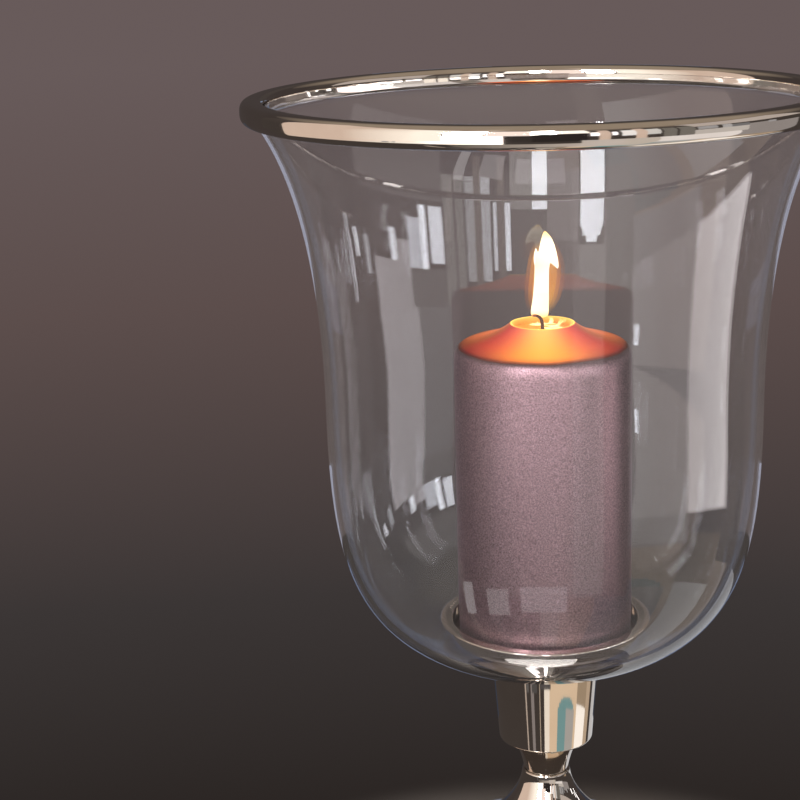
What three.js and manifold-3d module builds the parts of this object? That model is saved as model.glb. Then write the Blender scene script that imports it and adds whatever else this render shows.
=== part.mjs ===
// Hurricane lantern: a flared glass bell with a nickel rim, bolted through its base onto a
// nickel collar and trumpet foot, with a pillar candle standing in a flanged dish inside the bell.
// Millimetres, +Z up, origin on the axis where the felt under the foot meets the table.
import * as THREE from 'three';
import { mergeVertices } from 'three/addons/utils/BufferGeometryUtils.js';
import Module from 'manifold-3d';

const wasm = await Module();
wasm.setup();

// Driving dimensions
const GAP = 0.3;                    // clearance left between pieces that touch
const RIM_Z = 374;                  // middle of the rim band above the table
const RIM_RADIUS = 125;             // middle of the rim band from the axis
const RIM_HALF_WIDTH = 5.5;
const RIM_HALF_HEIGHT = 4.9;
const RIM_SQUARENESS = 3;           // 2 is an oval section, more is flatter with rounder corners

const LIP_RADIUS = 127.9;           // outer edge of the glass, inside the rim band
const BELL_RADIUS = 98.1;           // the nearly straight wall of the bell
const BELL_WALL_Z = 239.8;          // where the wall runs straight down
const SEAT_RADIUS = 28;             // flat underside of the bell
const SEAT_Z = 116.8;
const WALL = 2.8;                   // glass thickness in the wall and lip
const BASE = 3.6;                   // glass thickness in the base
const HOLE_RADIUS = 20;             // hole through the glass base

const DISH_FLANGE_RADIUS = 48.8;
const DISH_FLANGE_Z = 136.4;        // top of the flange
const DISH_WALL_RADIUS = 43.2;      // inside of the recess that holds the candle
const DISH_FLOOR_Z = 125.5;         // top of the recess floor
const DISH_CORNER = 5;              // outside rounding between the recess wall and its floor
const SHEET = 1.2;                  // thickness of the spun dish
const PAD_BORE = 10.5;              // hole in the pad under the dish, round the bolt's dimple

const CANDLE_RADIUS = 40;
const CANDLE_SHOULDER_Z = 257.6;    // where the straight side ends
const DOME_RADIUS = 31.9;           // where the shoulder turns into the hollow flank of the crater
const DOME_Z = 268.2;
const CRATER_RADIUS = 14;
const CRATER_Z = 276.4;             // rim of the melted crater
const POOL_Z = 273.4;               // melted wax
const WICK_RADIUS = 1.1;

const COLLAR_TOP_RADIUS = 24.5;
const COLLAR_FOOT_RADIUS = 21.8;
const COLLAR_TOP_Z = 114.6;
const COLLAR_FOOT_Z = 76.4;
const COLLAR_WALL = 3.4;
const COLLAR_FLOOR = 4.6;
const TAIL_TOP_RADIUS = 17;         // waisted tail under the collar
const TAIL_RADIUS = 10.3;
const TAIL_Z = 60.4;                // where the tail stands on the foot

const NECK_RADIUS = 11.3;           // top of the foot, just wider than the tail
const NECK_EDGE = 0.9;
const SPIGOT_RADIUS = 8;            // register that centres the collar on the foot
const SPIGOT_HEIGHT = 11;
const FOOT_RADIUS = 74;
const FOOT_EDGE = 6.2;              // height of the foot's outer edge
const FOOT_WALL = 4.5;
const BOSS_Z = 33;                  // underside of the neck, inside the hollow foot
const BOSS_RADIUS = 12.5;
const FELT = 2;

const BOLT_RADIUS = 4;
const BOLT_END_Z = 20;
const BOLT_HEAD_RADIUS = 8;
const NUT_ACROSS_FLATS = 13;
const NUT_HEIGHT = 6.5;
const WASHER = 1.6;
const SOCKET_ACROSS_FLATS = 5;      // hexagon socket in the bolt head
const SOCKET_DEPTH = 2.5;

const RIM_SIDES = 48;               // facets round the bell and its rim
const FLARE_STEPS = 9;              // straight runs that make up the flare's curve
const BOWL_STEPS = 8;
const BODY_SIDES = 36;              // facets round the metalwork and the candle
const SMALL_SIDES = 24;             // facets round the hidden washers and the bolt

// Shape helpers: profiles are points (radius, height), listed with the material on their left.
const at = (radius, height) => new THREE.Vector2(radius, height);

function arc(centreRadius, centreZ, radius, fromDegrees, toDegrees, steps) {
  const points = [];
  for (let i = 0; i <= steps; i += 1) {
    const angle = THREE.MathUtils.degToRad(fromDegrees + ((toDegrees - fromDegrees) * i) / steps);
    points.push(at(centreRadius + radius * Math.cos(angle), centreZ + radius * Math.sin(angle)));
  }
  return points;
}

function bend(from, pullFrom, pullTo, to) {
  return new THREE.CubicBezierCurve(from, pullFrom, pullTo, to);
}

// A solid turned round the Z axis; a profile that doesn't reach the axis is closed into a ring.
function turned(profile, sides) {
  const points = profile.slice();
  const onAxis = points[0].x === 0 && points[points.length - 1].x === 0;
  if (!onAxis) points.push(points[0].clone());
  return new THREE.LatheGeometry(points, sides).rotateX(Math.PI / 2);
}

function ring(innerRadius, outerRadius, lowZ, highZ, sides) {
  const low = [at(innerRadius, lowZ), at(outerRadius, lowZ)];
  const high = [at(outerRadius, highZ), at(innerRadius, highZ)];
  return turned([...low, ...high], sides);
}

function disc(radius, lowZ, highZ, sides) {
  return turned([at(0, lowZ), at(radius, lowZ), at(radius, highZ), at(0, highZ)], sides);
}

function hexPrism(acrossFlats, lowZ, highZ) {
  const cornerRadius = acrossFlats / Math.sqrt(3);
  const prism = new THREE.CylinderGeometry(cornerRadius, cornerRadius, highZ - lowZ, 6);
  return prism.rotateX(Math.PI / 2).translate(0, 0, (lowZ + highZ) / 2);
}

function toSolid(geometry) {
  const bare = geometry.clone();
  bare.deleteAttribute('normal');
  bare.deleteAttribute('uv');
  const merged = mergeVertices(bare, 1e-4);
  const corners = merged.index.array;
  const kept = [];
  for (let i = 0; i < corners.length; i += 3) {
    const [a, b, c] = [corners[i], corners[i + 1], corners[i + 2]];
    if (a !== b && b !== c && c !== a) kept.push(a, b, c);
  }
  const mesh = new wasm.Mesh({
    numProp: 3,
    vertProperties: new Float32Array(merged.attributes.position.array),
    triVerts: new Uint32Array(kept),
  });
  return new wasm.Manifold(mesh);
}

function cutFrom(body, tool) {
  const mesh = toSolid(body).subtract(toSolid(tool)).getMesh();
  const geometry = new THREE.BufferGeometry();
  geometry.setAttribute('position', new THREE.Float32BufferAttribute(mesh.vertProperties, 3));
  geometry.setIndex(Array.from(mesh.triVerts));
  geometry.computeVertexNormals();
  return geometry;
}

// Finishes
const nickel = { color: 0xbab0a8, roughness: 0.12, metalness: 1 };
const plainSteel = { color: 0x8d8b88, roughness: 0.4, metalness: 1 };
const clearGlass = { color: 0xe6ecf2, roughness: 0.03, metalness: 0, transparent: true, opacity: 0.3 };
const clearRubber = { color: 0xd9dde0, roughness: 0.35, metalness: 0, transparent: true, opacity: 0.6 };
const blackFelt = { color: 0x1d1b1a, roughness: 0.95, metalness: 0 };
const pearlWax = { color: 0x9a8183, roughness: 0.42, metalness: 0.35 };
const burntCotton = { color: 0x2b211c, roughness: 0.9, metalness: 0 };

const lantern = new THREE.Group();

function addPiece(name, geometry, finish) {
  const piece = new THREE.Mesh(geometry, new THREE.MeshStandardMaterial(finish));
  piece.name = name;
  lantern.add(piece);
}

// The felt disc glued under the foot
addPiece('base_felt', disc(FOOT_RADIUS - 2, 0, FELT, BODY_SIDES), blackFelt);

// The cast trumpet foot: a hollow flare under a slim neck, bored for the bolt
const boltBore = BOLT_RADIUS + 0.4;
const footLow = FELT + GAP;
const neckTop = TAIL_Z - GAP;

function footGeometry() {
  const edgeTop = footLow + FOOT_EDGE;
  const flare = bend(at(FOOT_RADIUS - 1.8, edgeTop), at(FOOT_RADIUS * 0.7, edgeTop + 5),
    at(NECK_RADIUS + 1.2, neckTop - 21), at(NECK_RADIUS, neckTop - NECK_EDGE));
  const hollow = bend(at(BOSS_RADIUS, BOSS_Z), at(BOSS_RADIUS + 5.5, BOSS_Z - 6),
    at(FOOT_RADIUS * 0.46, edgeTop + 11.5), at(FOOT_RADIUS - FOOT_WALL, edgeTop - FOOT_WALL + 0.6));
  return turned([
    at(FOOT_RADIUS - FOOT_WALL, footLow),
    at(FOOT_RADIUS - 0.8, footLow),
    ...arc(FOOT_RADIUS - 1.8, edgeTop - 1.8, 1.8, 0, 90, 3),
    ...flare.getPoints(11).slice(1),
    ...arc(NECK_RADIUS - NECK_EDGE, neckTop - NECK_EDGE, NECK_EDGE, 0, 90, 2).slice(1),
    at(SPIGOT_RADIUS, neckTop),
    at(SPIGOT_RADIUS, neckTop + SPIGOT_HEIGHT),
    at(boltBore, neckTop + SPIGOT_HEIGHT),
    at(boltBore, BOSS_Z),
    ...hollow.getPoints(6),
  ], BODY_SIDES);
}
addPiece('trumpet_foot', footGeometry(), nickel);

// The washer and nut that draw the stack together inside the hollow foot
const washerTop = BOSS_Z - GAP;
const washerLow = washerTop - WASHER;
const nutTop = washerLow - GAP;
const nutLow = nutTop - NUT_HEIGHT;
addPiece('tie_washer', ring(boltBore, BOSS_RADIUS - 1.5, washerLow, washerTop, SMALL_SIDES), plainSteel);
const nutBore = disc(BOLT_RADIUS + GAP, nutLow - 1, nutTop + 1, SMALL_SIDES);
addPiece('tie_nut', cutFrom(hexPrism(NUT_ACROSS_FLATS, nutLow, nutTop), nutBore), plainSteel);

// The tapered collar: a turned cup whose rim carries the glass, on a waisted tail over the spigot
function collarGeometry() {
  const edge = 1.4;
  const tail = bend(at(TAIL_RADIUS, TAIL_Z), at(TAIL_RADIUS + 0.9, TAIL_Z + 5.1),
    at(TAIL_TOP_RADIUS - 3.7, COLLAR_FOOT_Z - 3), at(TAIL_TOP_RADIUS, COLLAR_FOOT_Z));
  return turned([
    at(SPIGOT_RADIUS + GAP, TAIL_Z),
    ...tail.getPoints(6),
    ...arc(COLLAR_FOOT_RADIUS - edge, COLLAR_FOOT_Z + edge, edge, -90, -4, 3),
    ...arc(COLLAR_TOP_RADIUS - edge, COLLAR_TOP_Z - edge, edge, -4, 90, 3),
    at(COLLAR_TOP_RADIUS - COLLAR_WALL, COLLAR_TOP_Z),
    at(COLLAR_FOOT_RADIUS - COLLAR_WALL, COLLAR_FOOT_Z + COLLAR_FLOOR),
    at(SPIGOT_RADIUS + GAP, COLLAR_FOOT_Z + COLLAR_FLOOR),
  ], BODY_SIDES);
}
addPiece('stem_collar', collarGeometry(), nickel);

// The clear grommet: its flange cushions the glass on the collar, its plug centres the hole
const grommetFlangeTop = SEAT_Z - GAP;
const dimpleLow = DISH_FLOOR_Z - 5.95;
addPiece('base_grommet', turned([
  at(boltBore, COLLAR_TOP_Z + GAP),
  at(COLLAR_TOP_RADIUS - 0.4, COLLAR_TOP_Z + GAP),
  at(COLLAR_TOP_RADIUS - 0.4, grommetFlangeTop),
  at(HOLE_RADIUS - 0.4, grommetFlangeTop),
  at(HOLE_RADIUS - 0.4, dimpleLow - 2 * GAP),
  at(boltBore, dimpleLow - 2 * GAP),
], SMALL_SIDES), clearRubber);

// The glass bell: flared lip, straight wall, rounded base with a hole for the bolt
const flare = bend(at(BELL_RADIUS, BELL_WALL_Z), at(BELL_RADIUS + 0.1, BELL_WALL_Z + 49),
  at(LIP_RADIUS - 23.7, RIM_Z - 28.8), at(LIP_RADIUS, RIM_Z));
const bowl = bend(at(SEAT_RADIUS, SEAT_Z), at(BELL_RADIUS - 9, SEAT_Z + 13),
  at(BELL_RADIUS - 0.1, BELL_WALL_Z - 75.8), at(BELL_RADIUS, BELL_WALL_Z));

// Points beside a profile curve, at a distance to the left of its run (towards the axis).
function beside(curve, share, distance) {
  const run = curve.getTangent(share);
  const point = curve.getPoint(share);
  return at(point.x - run.y * distance, point.y + run.x * distance);
}

function alongside(curve, steps, distanceAt) {
  const points = [];
  for (let i = 0; i <= steps; i += 1) points.push(beside(curve, i / steps, distanceAt(i / steps)));
  return points;
}

function bellGeometry() {
  const flareInside = alongside(flare, FLARE_STEPS, () => WALL);
  const bowlInside = alongside(bowl, BOWL_STEPS, (share) => WALL + (BASE - WALL) * (1 - share) ** 2);
  bowlInside[0].set(SEAT_RADIUS, SEAT_Z + BASE);
  return turned([
    at(HOLE_RADIUS, SEAT_Z),
    ...bowl.getPoints(BOWL_STEPS),
    ...flare.getPoints(FLARE_STEPS).slice(1),
    ...flareInside.reverse(),
    ...bowlInside.reverse().slice(1),
    at(HOLE_RADIUS, SEAT_Z + BASE),
  ], RIM_SIDES);
}
addPiece('glass_bell', bellGeometry(), clearGlass);

// The rim band: a nickel ring with flattened sides and round corners, grooved underneath and
// pushed over the edge of the glass
function rimGeometry() {
  const section = [];
  const corners = 16;
  const squared = (wave) => Math.sign(wave) * Math.abs(wave) ** (2 / RIM_SQUARENESS);
  for (let i = 0; i < corners; i += 1) {
    const angle = (2 * Math.PI * i) / corners;
    const out = RIM_HALF_WIDTH * squared(Math.cos(angle));
    const up = RIM_HALF_HEIGHT * squared(Math.sin(angle));
    section.push(at(RIM_RADIUS + out, RIM_Z + up));
  }
  const lipRun = flare.getTangent(1).multiplyScalar(GAP);
  const shares = [1 - 1 / FLARE_STEPS, 1];
  const groove = [
    ...shares.map((share) => beside(flare, share, -GAP)),
    beside(flare, 1, -GAP).add(lipRun),
    beside(flare, 1, WALL + GAP).add(lipRun),
    ...shares.map((share) => beside(flare, share, WALL + GAP)).reverse(),
  ];
  return cutFrom(turned(section, RIM_SIDES), turned(groove, RIM_SIDES));
}
addPiece('rim_band', rimGeometry(), nickel);

// The clear pad between the glass base and the dish
const padLow = SEAT_Z + BASE + GAP;
const padTop = DISH_FLOOR_Z - SHEET - GAP;
addPiece('dish_pad', ring(PAD_BORE, SEAT_RADIUS - 1, padLow, padTop, SMALL_SIDES), clearRubber);

// The spun candle dish: flat flange, straight-sided recess and a dimple for the bolt head
function dishGeometry() {
  const floorLow = DISH_FLOOR_Z - SHEET;
  const wallOut = DISH_WALL_RADIUS + SHEET;
  const flangeLow = DISH_FLANGE_Z - SHEET;
  const lip = SHEET / 2;
  const cone = BOLT_HEAD_RADIUS + 0.75;
  const coneDrop = cone - boltBore;
  return turned([
    at(boltBore, dimpleLow),
    at(boltBore + floorLow - dimpleLow, floorLow),
    ...arc(wallOut - DISH_CORNER, floorLow + DISH_CORNER, DISH_CORNER, -90, 0, 4),
    at(wallOut, flangeLow - 1),
    at(wallOut + 1, flangeLow),
    ...arc(DISH_FLANGE_RADIUS - lip, DISH_FLANGE_Z - lip, lip, -90, 90, 4),
    ...arc(DISH_WALL_RADIUS + 0.8, DISH_FLANGE_Z - 0.8, 0.8, 90, 180, 2),
    ...arc(wallOut - DISH_CORNER, floorLow + DISH_CORNER, DISH_CORNER - SHEET, 0, -90, 3),
    at(cone, DISH_FLOOR_Z),
    at(boltBore, DISH_FLOOR_Z - coneDrop),
  ], BODY_SIDES);
}
addPiece('candle_dish', dishGeometry(), nickel);

// The countersunk bolt through the dish, the glass, the collar and the foot
function boltGeometry() {
  const headTop = DISH_FLOOR_Z - GAP;
  const shank = turned([
    at(0, BOLT_END_Z),
    at(BOLT_RADIUS - 0.8, BOLT_END_Z),
    at(BOLT_RADIUS, BOLT_END_Z + 0.8),
    at(BOLT_RADIUS, headTop - (BOLT_HEAD_RADIUS - BOLT_RADIUS)),
    at(BOLT_HEAD_RADIUS, headTop),
    at(0, headTop),
  ], SMALL_SIDES);
  return cutFrom(shank, hexPrism(SOCKET_ACROSS_FLATS, headTop - SOCKET_DEPTH, headTop + 1));
}
addPiece('tie_bolt', boltGeometry(), plainSteel);

// The pillar candle: straight sides, a rounded shoulder and a raised crater melted round the wick
const wickHole = WICK_RADIUS + 0.4;
const candleLow = DISH_FLOOR_Z + GAP;

function candleGeometry() {
  const shoulder = bend(at(CANDLE_RADIUS, CANDLE_SHOULDER_Z), at(CANDLE_RADIUS, CANDLE_SHOULDER_Z + 8.4),
    at(DOME_RADIUS + 5, DOME_Z - 1.6), at(DOME_RADIUS, DOME_Z));
  const flank = bend(at(DOME_RADIUS, DOME_Z), at(DOME_RADIUS - 1.3, DOME_Z + 0.4),
    at(CRATER_RADIUS + 6.5, CRATER_Z - 5.6), at(CRATER_RADIUS + 0.4, CRATER_Z));
  return turned([
    at(0, candleLow),
    at(CANDLE_RADIUS - 1.2, candleLow),
    at(CANDLE_RADIUS, candleLow + 1.2),
    ...shoulder.getPoints(6),
    ...flank.getPoints(5).slice(1),
    at(CRATER_RADIUS - 0.4, CRATER_Z),
    at(CRATER_RADIUS - 1, CRATER_Z - 0.8),
    at(CRATER_RADIUS - 1.8, POOL_Z),
    at(wickHole, POOL_Z),
    at(wickHole, POOL_Z - 6),
    at(0, POOL_Z - 6),
  ], BODY_SIDES);
}
addPiece('candle', candleGeometry(), pearlWax);

// The braided wick, burnt at its end and curling to one side
function wickGeometry() {
  const section = new THREE.Shape().absarc(0, 0, WICK_RADIUS, 0, 2 * Math.PI, false);
  const route = new THREE.CatmullRomCurve3([
    new THREE.Vector3(0, 0, POOL_Z - 6 + GAP),
    new THREE.Vector3(0, 0, POOL_Z + 1.2),
    new THREE.Vector3(-0.4, 0, POOL_Z + 4),
    new THREE.Vector3(-1.8, 0, POOL_Z + 6),
    new THREE.Vector3(-4.4, 0, POOL_Z + 6.4),
  ]);
  const cord = { extrudePath: route, steps: 10, curveSegments: 4, bevelEnabled: false };
  return new THREE.ExtrudeGeometry(section, cord);
}
addPiece('candle_wick', wickGeometry(), burntCotton);

export default lantern;
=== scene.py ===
from math import atan2, cos, pi, radians, sin, tan

import bpy
from mathutils import Matrix, Vector


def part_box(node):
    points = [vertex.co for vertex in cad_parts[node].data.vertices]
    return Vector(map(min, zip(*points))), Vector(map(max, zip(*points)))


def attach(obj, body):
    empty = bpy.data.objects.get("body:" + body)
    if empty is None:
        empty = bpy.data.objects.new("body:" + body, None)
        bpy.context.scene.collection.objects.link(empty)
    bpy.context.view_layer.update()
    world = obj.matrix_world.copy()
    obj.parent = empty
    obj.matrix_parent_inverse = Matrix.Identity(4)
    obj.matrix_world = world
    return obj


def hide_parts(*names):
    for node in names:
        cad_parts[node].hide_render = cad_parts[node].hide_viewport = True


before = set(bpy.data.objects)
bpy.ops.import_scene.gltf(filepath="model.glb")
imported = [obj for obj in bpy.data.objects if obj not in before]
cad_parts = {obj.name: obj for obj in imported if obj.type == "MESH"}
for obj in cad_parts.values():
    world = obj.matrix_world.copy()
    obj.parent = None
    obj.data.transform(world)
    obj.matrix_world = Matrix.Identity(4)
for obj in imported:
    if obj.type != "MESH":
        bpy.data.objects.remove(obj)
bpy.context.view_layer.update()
mm = 0.001


# Base felt: a disc of black wool felt, die-cut and glued under the foot so that the metal doesn't
# scratch what it stands on. The cut edge is slightly soft and the face is matted from fine fibres.
def arc(centre_r, centre_z, radius, start, stop, steps):
    """Points (radius, height) on a round stretch of an outline, angles in degrees."""
    turns = [radians(start + (stop - start) * i / steps) for i in range(steps + 1)]
    return [(centre_r + radius * cos(a), centre_z + radius * sin(a)) for a in turns]


def turned(name, outline, sides, crease=40):
    """A closed skin turned round the Z axis. The outline runs with the material on its left, and
    either starts and ends on the axis or closes on itself as a ring."""
    solid = outline[0][0] == 0
    verts, rows = [], []
    for r, z in outline:
        if r == 0:
            rows.append([len(verts)] * sides)
            verts.append((0, 0, z))
        else:
            rows.append(list(range(len(verts), len(verts) + sides)))
            for i in range(sides):
                a = 2 * pi * i / sides
                verts.append((r * cos(a), r * sin(a), z))
    pairs = list(zip(rows, rows[1:]))
    if not solid:
        pairs.append((rows[-1], rows[0]))
    faces = []
    for low, high in pairs:
        for i in range(sides):
            j = (i + 1) % sides
            corners = [low[i], low[j], high[j], high[i]]
            faces.append(list(dict.fromkeys(corners)))
    mesh = bpy.data.meshes.new(name)
    mesh.from_pydata(verts, [], faces)
    mesh.shade_smooth()
    mesh.set_sharp_from_angle(angle=radians(crease))
    piece = bpy.data.objects.new(name, mesh)
    bpy.context.scene.collection.objects.link(piece)
    return piece


def new_finish(name):
    """A node material and what is needed to wire it: its nodes, a link call and its shader."""
    finish = bpy.data.materials.new(name)
    finish.use_nodes = True
    tree = finish.node_tree
    return finish, tree.nodes, tree.links.new, tree.nodes["Principled BSDF"]


def grain(nodes, link, scale, detail, stretch=(1, 1, 1)):
    """A noise pattern fixed to the piece, in cycles per metre, and its value socket."""
    place = nodes.new("ShaderNodeTexCoord")
    spread = nodes.new("ShaderNodeMapping")
    spread.inputs["Scale"].default_value = stretch
    pattern = nodes.new("ShaderNodeTexNoise")
    pattern.inputs["Scale"].default_value = scale
    pattern.inputs["Detail"].default_value = detail
    link(place.outputs["Object"], spread.inputs["Vector"])
    link(spread.outputs["Vector"], pattern.inputs["Vector"])
    return pattern.outputs["Fac"]


def shades(nodes, link, value, *stops):
    """A colour ramp over a value; each stop is (place, (red, green, blue))."""
    ramp = nodes.new("ShaderNodeValToRGB")
    marks = ramp.color_ramp.elements
    while len(marks) < len(stops):
        marks.new(0.5)
    for mark, (place, colour) in zip(marks, stops):
        mark.position = place
        mark.color = (*colour, 1)
    link(value, ramp.inputs["Fac"])
    return ramp.outputs["Color"]


def relief(nodes, link, shader, value, depth, strength=1.0):
    """Raises a pattern on the surface by depth metres."""
    bump = nodes.new("ShaderNodeBump")
    bump.inputs["Distance"].default_value = depth
    bump.inputs["Strength"].default_value = strength
    link(value, bump.inputs["Height"])
    link(bump.outputs["Normal"], shader.inputs["Normal"])


felt_low, felt_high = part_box("base_felt")
FELT_EDGE = 0.6 * mm
SOFT_SIDES = 96
base_felt = turned("Base_felt_disc", [
    (0, felt_low.z),
    *arc(felt_high.x - FELT_EDGE, felt_low.z + FELT_EDGE, FELT_EDGE, -90, 0, 4),
    *arc(felt_high.x - FELT_EDGE, felt_high.z - FELT_EDGE, FELT_EDGE, 0, 90, 4),
    (0, felt_high.z),
], SOFT_SIDES)
felt_black, nodes, link, shader = new_finish("Black felt")
fibres = grain(nodes, link, scale=900, detail=8)
link(shades(nodes, link, fibres, (0.3, (0.008, 0.007, 0.007)), (0.7, (0.03, 0.027, 0.025))),
     shader.inputs["Base Color"])
shader.inputs["Roughness"].default_value = 0.95
shader.inputs["Sheen Weight"].default_value = 0.4
relief(nodes, link, shader, fibres, depth=0.3 * mm)
base_felt.data.materials.append(felt_black)
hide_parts("base_felt")
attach(base_felt, "lantern")


# Trumpet foot: one hollow casting, turned, polished and nickel-plated. It flares from a waisted
# neck to a low round base; a short spigot on top centres the collar and a bore takes the bolt.
def bend(start, pull_start, pull_end, end, steps):
    """Points on a smooth curve between two ends, each with the point that it is pulled towards."""
    points = []
    for i in range(steps + 1):
        t = i / steps
        weights = ((1 - t) ** 3, 3 * t * (1 - t) ** 2, 3 * t * t * (1 - t), t ** 3)
        ends = (start, pull_start, pull_end, end)
        points.append(tuple(sum(w * p[k] for w, p in zip(weights, ends)) for k in (0, 1)))
    return points


def share_of(nodes, link, value, start, stop, low=0.0, high=1.0):
    """How far a value lies between start and stop, carried to the range low to high."""
    reach = nodes.new("ShaderNodeMapRange")
    for key, number in (("From Min", start), ("From Max", stop), ("To Min", low), ("To Max", high)):
        reach.inputs[key].default_value = number
    link(value, reach.inputs["Value"])
    return reach.outputs["Result"]


foot_low, foot_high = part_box("trumpet_foot")
collar_low, collar_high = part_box("stem_collar")
METAL_SIDES = 160
FOOT_RADIUS, FOOT_WALL = foot_high.x, 4.5 * mm
FOOT_EDGE_TOP = foot_low.z + 6.2 * mm
EDGE_ROUND, SOLE_ROUND, SOLE_INSET = 1.8 * mm, 0.6 * mm, 1.2 * mm
FOOT_PULL = (FOOT_RADIUS * 0.7, FOOT_EDGE_TOP + 5 * mm)
NECK_RADIUS, NECK_ROUND = 11.3 * mm, 0.9 * mm
NECK_TOP_Z = collar_low.z - 0.3 * mm
NECK_PULL = (NECK_RADIUS + 1.2 * mm, NECK_TOP_Z - 21 * mm)
SPIGOT_RADIUS = 8 * mm
BOLT_BORE = 4.4 * mm
BOSS_RADIUS, BOSS_Z = 12.5 * mm, 33 * mm
BOSS_PULL = (BOSS_RADIUS + 5.5 * mm, BOSS_Z - 6 * mm)
HOLLOW_PULL = (FOOT_RADIUS * 0.46, FOOT_EDGE_TOP + 11.5 * mm)
HOLLOW_END = (FOOT_RADIUS - FOOT_WALL, FOOT_EDGE_TOP - FOOT_WALL + 0.6 * mm)
trumpet_foot = turned("Trumpet_foot", [
    (FOOT_RADIUS - FOOT_WALL, foot_low.z),
    *arc(FOOT_RADIUS - SOLE_INSET, foot_low.z + SOLE_ROUND, SOLE_ROUND, -90, 0, 4),
    *arc(FOOT_RADIUS - EDGE_ROUND, FOOT_EDGE_TOP - EDGE_ROUND, EDGE_ROUND, 0, 84, 10),
    *bend((FOOT_RADIUS - EDGE_ROUND, FOOT_EDGE_TOP), FOOT_PULL, NECK_PULL,
          (NECK_RADIUS, NECK_TOP_Z - NECK_ROUND), steps=80),
    *arc(NECK_RADIUS - NECK_ROUND, NECK_TOP_Z - NECK_ROUND, NECK_ROUND, 0, 90, 6)[1:],
    (SPIGOT_RADIUS, NECK_TOP_Z),
    (SPIGOT_RADIUS, foot_high.z),
    (BOLT_BORE, foot_high.z),
    (BOLT_BORE, BOSS_Z),
    *bend((BOSS_RADIUS, BOSS_Z), BOSS_PULL, HOLLOW_PULL, HOLLOW_END, steps=20),
], METAL_SIDES)
bright_nickel, nodes, link, shader = new_finish("Polished nickel")
cloud = grain(nodes, link, scale=45, detail=3)
polish_lines = grain(nodes, link, scale=700, detail=5, stretch=(1, 1, 14))
link(shades(nodes, link, cloud, (0.3, (0.77, 0.70, 0.63)), (0.7, (0.83, 0.77, 0.70))),
     shader.inputs["Base Color"])
link(share_of(nodes, link, polish_lines, 0, 1, 0.025, 0.075), shader.inputs["Roughness"])
shader.inputs["Metallic"].default_value = 1
relief(nodes, link, shader, cloud, depth=0.05 * mm, strength=0.25)
trumpet_foot.data.materials.append(bright_nickel)
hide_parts("trumpet_foot")
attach(trumpet_foot, "lantern")


# Washer and nut: plain zinc-plated steel, tightened up inside the hollow foot. They draw the foot,
# collar, glass and dish together on the bolt, and only show when the felt is peeled off.
zinc_steel, nodes, link, shader = new_finish("Zinc-plated steel")
spangle = grain(nodes, link, scale=260, detail=6)
link(shades(nodes, link, spangle, (0.35, (0.36, 0.37, 0.38)), (0.65, (0.55, 0.55, 0.54))),
     shader.inputs["Base Color"])
link(share_of(nodes, link, spangle, 0, 1, 0.28, 0.5), shader.inputs["Roughness"])
shader.inputs["Metallic"].default_value = 1
for fixing in ("tie_washer", "tie_nut"):
    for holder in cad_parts[fixing].material_slots:
        holder.material = zinc_steel


# Stem collar: a tapered cup turned from bar and nickel-plated, with a waisted tail below it. Its open
# rim carries the glass, and its bore drops over the spigot of the foot.
COLLAR_TOP_RADIUS = collar_high.x
COLLAR_FOOT_RADIUS, COLLAR_FOOT_Z = 21.8 * mm, 76.4 * mm
COLLAR_EDGE, COLLAR_TAPER = 1.4 * mm, 4
COLLAR_WALL, COLLAR_FLOOR_Z = 3.4 * mm, COLLAR_FOOT_Z + 4.6 * mm
TAIL_RADIUS, TAIL_TOP_RADIUS = 10.3 * mm, 17 * mm
TAIL_PULL = (TAIL_RADIUS + 0.9 * mm, collar_low.z + 5.1 * mm)
TAIL_TOP_PULL = (TAIL_TOP_RADIUS - 3.7 * mm, COLLAR_FOOT_Z - 3 * mm)
SPIGOT_HOLE = SPIGOT_RADIUS + 0.3 * mm
stem_collar = turned("Stem_collar", [
    (SPIGOT_HOLE, collar_low.z),
    *bend((TAIL_RADIUS, collar_low.z), TAIL_PULL, TAIL_TOP_PULL, (TAIL_TOP_RADIUS, COLLAR_FOOT_Z), steps=20),
    *arc(COLLAR_FOOT_RADIUS - COLLAR_EDGE, COLLAR_FOOT_Z + COLLAR_EDGE, COLLAR_EDGE, -90, -COLLAR_TAPER, 8),
    *arc(COLLAR_TOP_RADIUS - COLLAR_EDGE, collar_high.z - COLLAR_EDGE, COLLAR_EDGE, -COLLAR_TAPER, 90, 8),
    (COLLAR_TOP_RADIUS - COLLAR_WALL, collar_high.z),
    (COLLAR_FOOT_RADIUS - COLLAR_WALL, COLLAR_FLOOR_Z),
    (SPIGOT_HOLE, COLLAR_FLOOR_Z),
], METAL_SIDES)
stem_collar.data.materials.append(bright_nickel)
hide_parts("stem_collar")
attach(stem_collar, "lantern")


# Base grommet: a clear silicone top-hat. The flange is the cushion between collar and glass, and
# the plug stands in the hole of the glass and keeps it centred on the bolt.
def either_of(nodes, link, share, first, second):
    """Makes the surface a mix of two shaders, the second one by a share."""
    mixer = nodes.new("ShaderNodeMixShader")
    for value, socket in zip((share, first, second), mixer.inputs):
        link(value, socket)
    link(mixer.outputs["Shader"], nodes["Material Output"].inputs["Surface"])


def see_through(nodes, link, shader, tint):
    """Lets lamp light pass straight through clear material, so that what stands behind it is lit."""
    path = nodes.new("ShaderNodeLightPath")
    open_way = nodes.new("ShaderNodeBsdfTransparent")
    open_way.inputs["Color"].default_value = (*tint, 1)
    either_of(nodes, link, path.outputs["Is Shadow Ray"], shader.outputs["BSDF"], open_way.outputs["BSDF"])


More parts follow.
